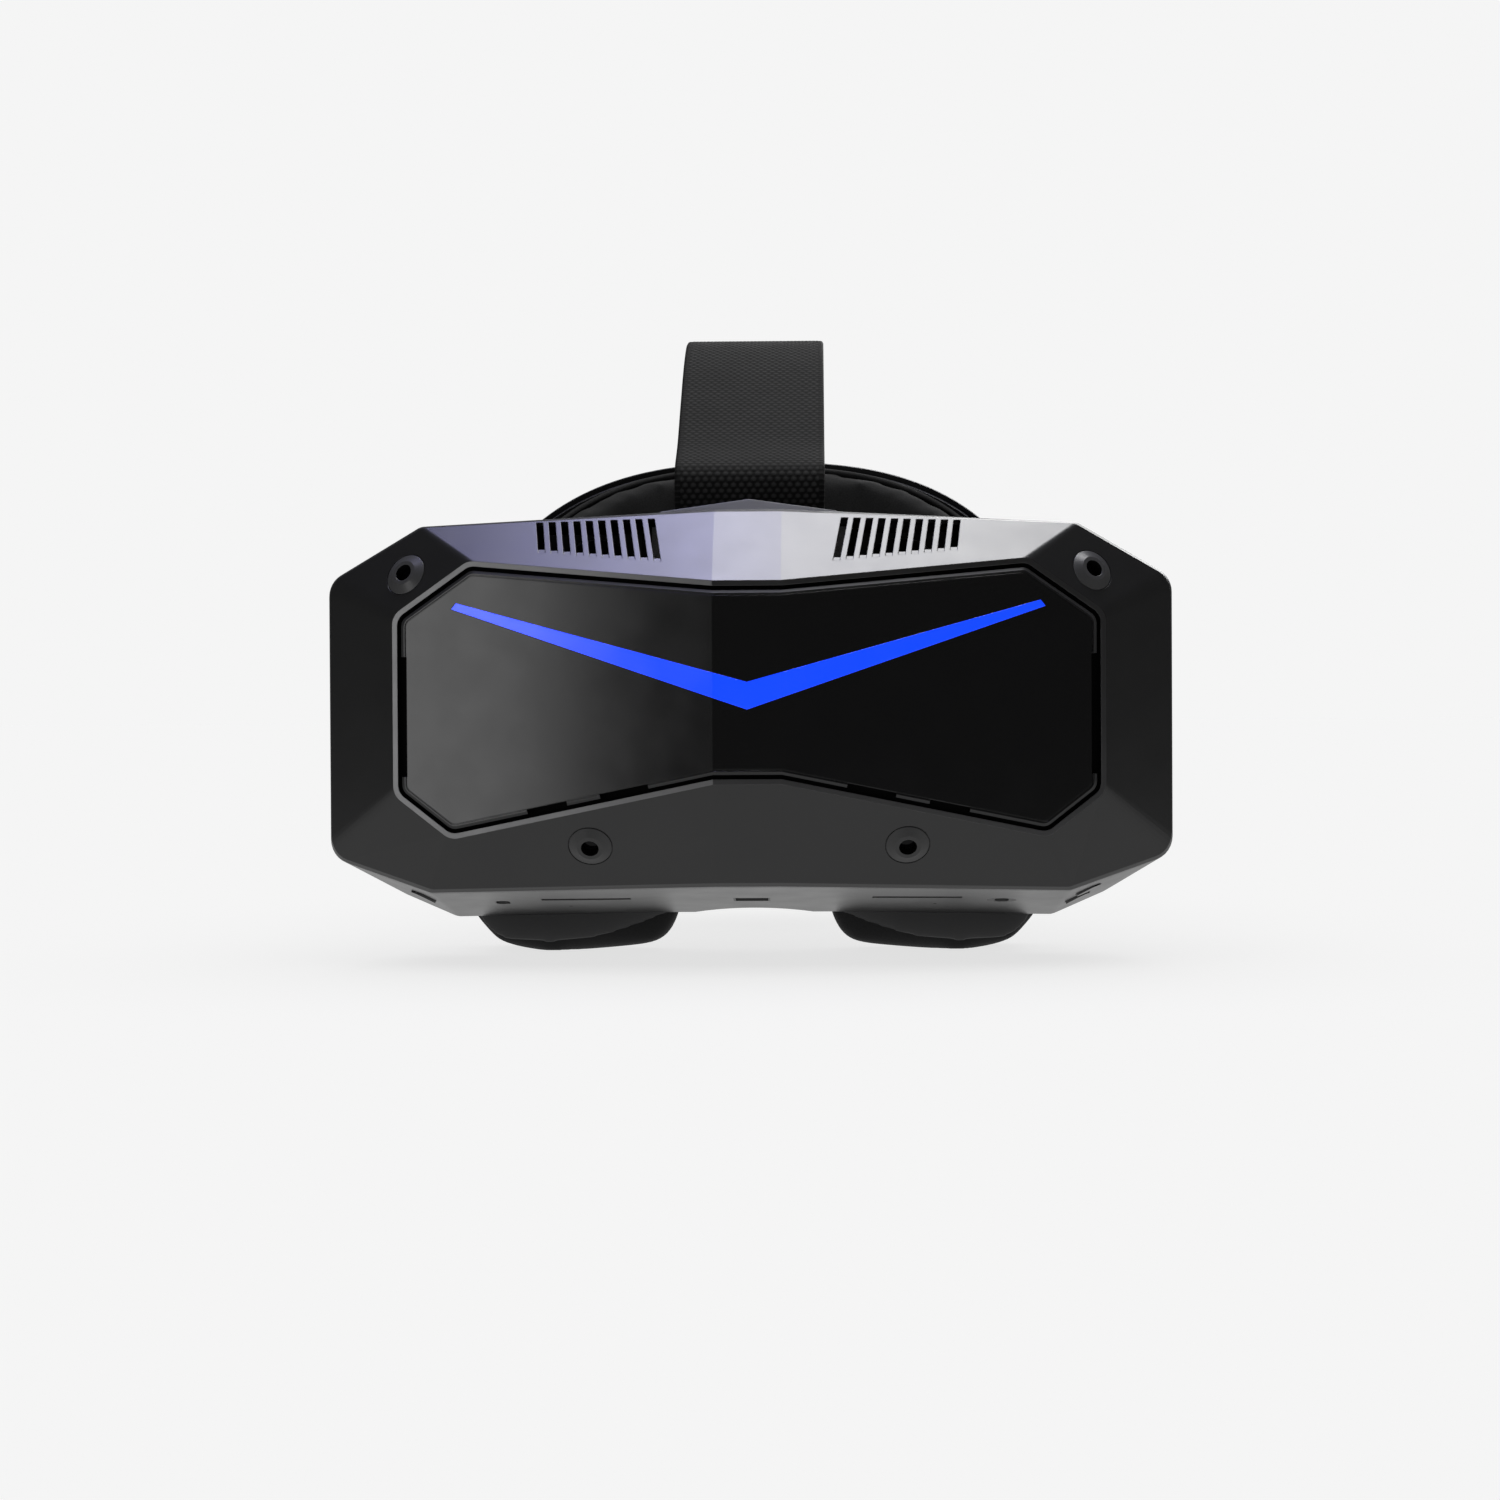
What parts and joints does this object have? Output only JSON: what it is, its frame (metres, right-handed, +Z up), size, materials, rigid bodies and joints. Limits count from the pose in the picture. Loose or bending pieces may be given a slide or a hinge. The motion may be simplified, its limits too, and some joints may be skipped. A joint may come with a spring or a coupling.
{
  "type": "vr headset",
  "caption": "Faceted VR headset with lift-off cover plate, sliding eye modules, face gasket and a dial-tightened head harness with a top strap.",
  "frame": {"origin": "on the floor, under the middle of the whole headset with its harness", "axes": "+Y from the cover plate to the back of the head, +Z up, +X to the right when the visor's front is looked at"},
  "size_m": [0.2794, 0.315, 0.2218],
  "materials": {
    "case_black": "fine satin black",
    "case_rear": "satin black",
    "cover_black": "satin black",
    "plate_gloss": "piano black",
    "accent_blue": "bright blue gloss",
    "bezel_grey": "satin dark grey",
    "lens_dark": "dark coated glass",
    "lens_clear": "clear polished",
    "steel": "brushed",
    "motor_metal": "satin",
    "board_green": "solder mask",
    "heat_alu": "anodised",
    "hinge_metal": "black powder coat",
    "inner_plastic": "plain moulded",
    "display_glass": "dark glass",
    "mic_metal": "plain",
    "button_black": "satin black",
    "gasket_plastic": "satin dark grey",
    "face_foam": "smooth coated cloth over foam",
    "pad_foam": "smooth coated cloth over foam",
    "rubber": "matte",
    "harness_black": "satin black",
    "knob_rubber": "soft grip",
    "grille": "black",
    "webbing": "woven nylon"
  },
  "bodies": {
    "visor": {"front_shell": "case_black", "rear_shell": "case_rear", "top_cover": "cover_black", "bulkhead": "case_rear", "plate_magnets": "steel", "strap_anchor": "steel", "camera_lenses": "lens_dark", "main_board": "board_green", "heat_sink": "heat_alu", "fan_housing_left": "inner_plastic", "fan_housing_right": "inner_plastic", "usb_socket": "steel", "headphone_jack": "inner_plastic", "microphones": "mic_metal", "proximity_sensor": "display_glass", "shell_screws": "steel", "ipd_motor": "motor_metal", "ipd_rod_upper": "steel", "ipd_rod_lower": "steel", "hinge_bracket_left": "hinge_metal", "hinge_bracket_right": "hinge_metal", "top_strap_front": "webbing", "camera_bezel_lower_left": "bezel_grey", "camera_bezel_lower_right": "bezel_grey", "camera_bezel_upper_left": "bezel_grey", "camera_bezel_upper_right": "bezel_grey"},
    "cover": {"cover_plate": "plate_gloss", "accent_strip": "accent_blue"},
    "eye_left": {"lens_barrel_left": "inner_plastic", "eye_lens_left": "lens_clear", "display_left": "display_glass", "ipd_rack_left": "inner_plastic"},
    "eye_right": {"lens_barrel_right": "inner_plastic", "eye_lens_right": "lens_clear", "display_right": "display_glass", "ipd_rack_right": "inner_plastic"},
    "ipd_drive": {"ipd_pinion": "inner_plastic"},
    "fan_left": {"fan_rotor_left": "inner_plastic"},
    "fan_right": {"fan_rotor_right": "inner_plastic"},
    "power_key": {"power_button": "button_black"},
    "volume_up_key": {"volume_up_button": "button_black"},
    "volume_down_key": {"volume_down_button": "button_black"},
    "gasket": {"gasket_frame": "gasket_plastic", "face_foam": "face_foam", "nose_flap": "rubber"},
    "headband": {"arm_left": "harness_black", "arm_right": "harness_black", "speaker_pod_left": "harness_black", "speaker_pod_right": "harness_black", "speaker_grilles": "grille", "crown_clip": "harness_black"},
    "cradle": {"cradle_shell": "harness_black", "cradle_liner": "harness_black", "cradle_pad": "pad_foam", "top_strap_rear": "webbing"},
    "band_left": {"band_rack_left": "inner_plastic"},
    "band_right": {"band_rack_right": "inner_plastic"},
    "dial": {"dial_knob": "knob_rubber", "dial_pinion": "inner_plastic"}
  },
  "joints": [
    {"name": "cover_lift", "type": "slide", "parent": "visor", "child": "cover", "axis": [0, -1, 0], "range_m": [0, 0.03]},
    {"name": "eye_right_shift", "type": "slide", "parent": "visor", "child": "eye_right", "axis": [1, 0, 0], "range_m": [-0.0035, 0.0035]},
    {"name": "eye_left_shift", "type": "slide", "parent": "visor", "child": "eye_left", "axis": [-1, 0, 0], "range_m": [-0.00352, 0.00352]},
    {"name": "ipd_turn", "type": "hinge", "parent": "visor", "child": "ipd_drive", "pos_m": [0, -0.09562, 0.043], "axis": [0, -1, 0], "range_deg": [-42.08, 42.08]},
    {"name": "fan_spin_left", "type": "hinge", "parent": "visor", "child": "fan_left", "pos_m": [-0.05, -0.11762, 0.1275], "axis": [0, 1, 0], "continuous": true},
    {"name": "fan_spin_right", "type": "hinge", "parent": "visor", "child": "fan_right", "pos_m": [0.05, -0.11762, 0.1275], "axis": [0, 1, 0], "continuous": true},
    {"name": "power_press", "type": "slide", "parent": "visor", "child": "power_key", "axis": [0.3958, 0.161, 0.9041], "range_m": [0, 0.0006], "stiffness_N_per_m": 600},
    {"name": "volume_up_press", "type": "slide", "parent": "visor", "child": "volume_up_key", "axis": [-0.3958, 0.161, 0.9041], "range_m": [0, 0.0006], "stiffness_N_per_m": 600},
    {"name": "volume_down_press", "type": "slide", "parent": "visor", "child": "volume_down_key", "axis": [-0.3958, 0.161, 0.9041], "range_m": [0, 0.0006], "stiffness_N_per_m": 600},
    {"name": "gasket_pull", "type": "slide", "parent": "visor", "child": "gasket", "axis": [0, 1, 0], "range_m": [0, 0.03]},
    {"name": "harness_tilt", "type": "hinge", "parent": "visor", "child": "headband", "pos_m": [0, -0.04662, 0.0935], "axis": [1, 0, 0], "range_deg": [-15, 15], "deforming": ["top_strap_front"]},
    {"name": "cradle_fit", "type": "slide", "parent": "headband", "child": "cradle", "axis": [0, 0.9833, 0.1822], "range_m": [-0.006, 0.01], "deforming": ["top_strap_rear"]},
    {"name": "band_right_feed", "type": "hinge", "parent": "cradle", "child": "band_right", "pos_m": [0, 0.03057, 0.10781], "axis": [0, -0.1822, 0.9833], "range_deg": [-5.27, 3.18]},
    {"name": "band_left_feed", "type": "hinge", "parent": "cradle", "child": "band_left", "pos_m": [0, 0.03057, 0.10781], "axis": [0, -0.1822, 0.9833], "range_deg": [-3.18, 5.27]},
    {"name": "dial_turn", "type": "hinge", "parent": "cradle", "child": "dial", "pos_m": [0, 0.14216, 0.12849], "axis": [0, 0.9833, 0.1822], "range_deg": [-57.8, 96]}
  ],
  "couplings": [
    {"joint": "eye_left_shift", "follows": "eye_right_shift", "ratio": 1},
    {"joint": "ipd_turn", "follows": "eye_right_shift", "rad_per_m": 208.33},
    {"joint": "band_right_feed", "follows": "cradle_fit", "rad_per_m": -9.1075},
    {"joint": "band_left_feed", "follows": "cradle_fit", "rad_per_m": 9.1075},
    {"joint": "dial_turn", "follows": "cradle_fit", "rad_per_m": 166.67}
  ]
}
